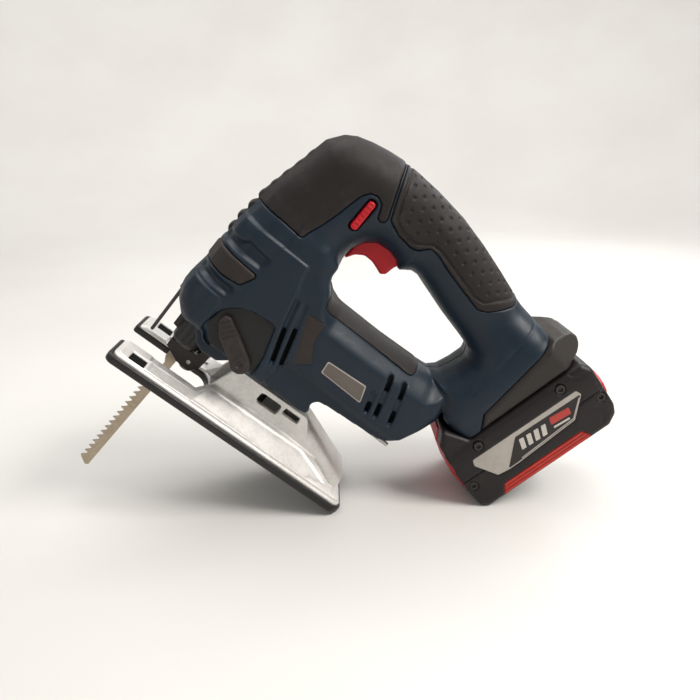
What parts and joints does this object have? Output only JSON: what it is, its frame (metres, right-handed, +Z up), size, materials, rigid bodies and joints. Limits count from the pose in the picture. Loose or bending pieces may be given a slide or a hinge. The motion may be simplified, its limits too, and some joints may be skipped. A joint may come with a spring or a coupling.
{
  "type": "cordless jigsaw",
  "caption": "Cordless bow-handle jigsaw with tilting shoe, reciprocating blade and slide-on battery, parked nose-up on the shoe's heel and the battery's corner.",
  "frame": {"origin": "bench point under the middle of the parked tool's bounding box", "axes": "+X to the tool's rear (battery) along the bench, +Y to the tool's right, +Z up from the bench; the sole is tipped 41 degrees nose-up"},
  "size_m": [0.371, 0.084, 0.2449],
  "materials": {
    "casing_blue": "fine-textured satin moulding",
    "soft_rubber": "matt overmoulded elastomer with dimples",
    "mount_plastic": "fine-textured satin moulding",
    "red_plastic": "smooth semi-gloss moulding",
    "pack_black": "fine-textured black moulding",
    "sole_black": "smooth glide moulding",
    "cast_aluminium": "die cast, lightly blasted",
    "plate_silver": "bare silver-grey foil",
    "tool_steel": "ground steel",
    "dark_steel": "blackened steel",
    "blade_steel": "milled and ground saw steel",
    "lever_dark": "dark glass-filled moulding",
    "clamp_black": "ribbed dark moulding",
    "bearing_steel": "polished",
    "bronze": "sintered bronze",
    "copper": "turned copper",
    "laminations": "stacked laminations",
    "magnet": "ferrite, bare",
    "carbon": "pressed carbon",
    "board": "coated circuit board",
    "cell_sleeve": "film-sleeved cells"
  },
  "bodies": {
    "body": {"housing_left": "casing_blue", "housing_right": "casing_blue", "front_grip": "soft_rubber", "rear_grip_pad": "soft_rubber", "lower_grip_strip": "soft_rubber", "nameplate": "plate_silver", "casing_screws": "dark_steel", "gear_case": "cast_aluminium", "plunger_bushes": "bronze", "gear_axle": "tool_steel", "motor_can": "tool_steel", "motor_magnets": "magnet", "carbon_brushes": "carbon", "brush_holders": "bronze", "motor_bearings": "bearing_steel", "arm_pivot_pin": "tool_steel", "trigger_pin": "tool_steel", "switch_module": "pack_black", "speed_board": "board", "battery_mount": "mount_plastic", "terminal_block": "carbon", "guard_wire": "dark_steel"},
    "motor_rotor": {"motor_shaft": "tool_steel", "pinion": "tool_steel", "cooling_fan": "pack_black", "armature": "laminations", "commutator": "copper"},
    "gear_wheel": {"drive_gear": "tool_steel", "eccentric_pin": "tool_steel"},
    "saw_ram": {"plunger": "tool_steel", "scotch_yoke": "tool_steel", "blade_clamp": "dark_steel", "blade": "blade_steel"},
    "clamp_sleeve": {"clamp_collar": "clamp_black"},
    "orbit_arm": {"roller_arm": "lever_dark", "roller_pin": "tool_steel"},
    "support_roller": {"guide_roller": "tool_steel"},
    "orbit_selector": {"selector_lever": "lever_dark"},
    "switch_trigger": {"trigger": "red_plastic"},
    "lock_bolt": {"lock_off_bar": "red_plastic"},
    "shoe": {"shoe_plate": "cast_aluminium", "sole_cover": "sole_black", "bevel_screw": "dark_steel", "bevel_nut": "tool_steel"},
    "allen_key": {"hex_key": "tool_steel"},
    "battery": {"battery_inner_case": "pack_black", "battery_outer_case": "pack_black", "battery_side_bands": "red_plastic", "battery_end_bumpers": "red_plastic", "battery_labels": "plate_silver", "battery_screws": "tool_steel", "battery_cells": "cell_sleeve"},
    "pack_release": {"battery_release_button": "red_plastic"}
  },
  "joints": [
    {"name": "motor_spin", "type": "hinge", "parent": "body", "child": "motor_rotor", "pos_m": [-0.00256, 0, 0.1079], "axis": [0.7547, 0, -0.6561], "continuous": true},
    {"name": "gear_spin", "type": "hinge", "parent": "body", "child": "gear_wheel", "pos_m": [-0.03354, 0, 0.16676], "axis": [0.7547, 0, -0.6561], "continuous": true},
    {"name": "plunger_stroke", "type": "slide", "parent": "body", "child": "saw_ram", "axis": [0.6561, 0, 0.7547], "range_m": [0, 0.026]},
    {"name": "clamp_twist", "type": "hinge", "parent": "saw_ram", "child": "clamp_sleeve", "pos_m": [-0.09192, 0, 0.12476], "axis": [0.6561, 0, 0.7547], "range_deg": [0, 45], "stiffness_Nm_per_rad": 0.12, "springref_deg": -17.19},
    {"name": "orbit_swing", "type": "hinge", "parent": "body", "child": "orbit_arm", "pos_m": [-0.06772, 0, 0.1183], "axis": [0, -1, 0], "range_deg": [0, 4], "stiffness_Nm_per_rad": 0.5, "springref_deg": -3.44},
    {"name": "roller_spin", "type": "hinge", "parent": "orbit_arm", "child": "support_roller", "pos_m": [-0.0993, 0, 0.10202], "axis": [0, 1, 0], "continuous": true},
    {"name": "selector_turn", "type": "hinge", "parent": "body", "child": "orbit_selector", "pos_m": [-0.06008, -0.033, 0.11033], "axis": [0, 1, 0], "range_deg": [0, 50]},
    {"name": "trigger_pull", "type": "hinge", "parent": "body", "child": "switch_trigger", "pos_m": [0.04763, 0, 0.17173], "axis": [0, 1, 0], "range_deg": [0, 9], "stiffness_Nm_per_rad": 1.6, "springref_deg": -6.88},
    {"name": "lock_off_slide", "type": "slide", "parent": "body", "child": "lock_bolt", "axis": [0, 1, 0], "range_m": [0, 0.003]},
    {"name": "shoe_bevel", "type": "hinge", "parent": "body", "child": "shoe", "pos_m": [-0.06686, 0, 0.05527], "axis": [0.7547, 0, -0.6561], "range_deg": [-45, 45]},
    {"name": "hex_key_pull", "type": "slide", "parent": "body", "child": "allen_key", "axis": [-0.6561, 0, -0.7547], "range_m": [0, 0.009]},
    {"name": "battery_slide", "type": "slide", "parent": "body", "child": "battery", "axis": [-0.788, 0, -0.6157], "range_m": [0, 0.08]},
    {"name": "pack_release_press", "type": "slide", "parent": "battery", "child": "pack_release", "axis": [0.788, 0, 0.6157], "range_m": [0, 0.0025], "stiffness_N_per_m": 700, "springref_m": -0.002}
  ],
  "couplings": [
    {"joint": "gear_spin", "follows": "motor_spin", "ratio": -0.2}
  ]
}
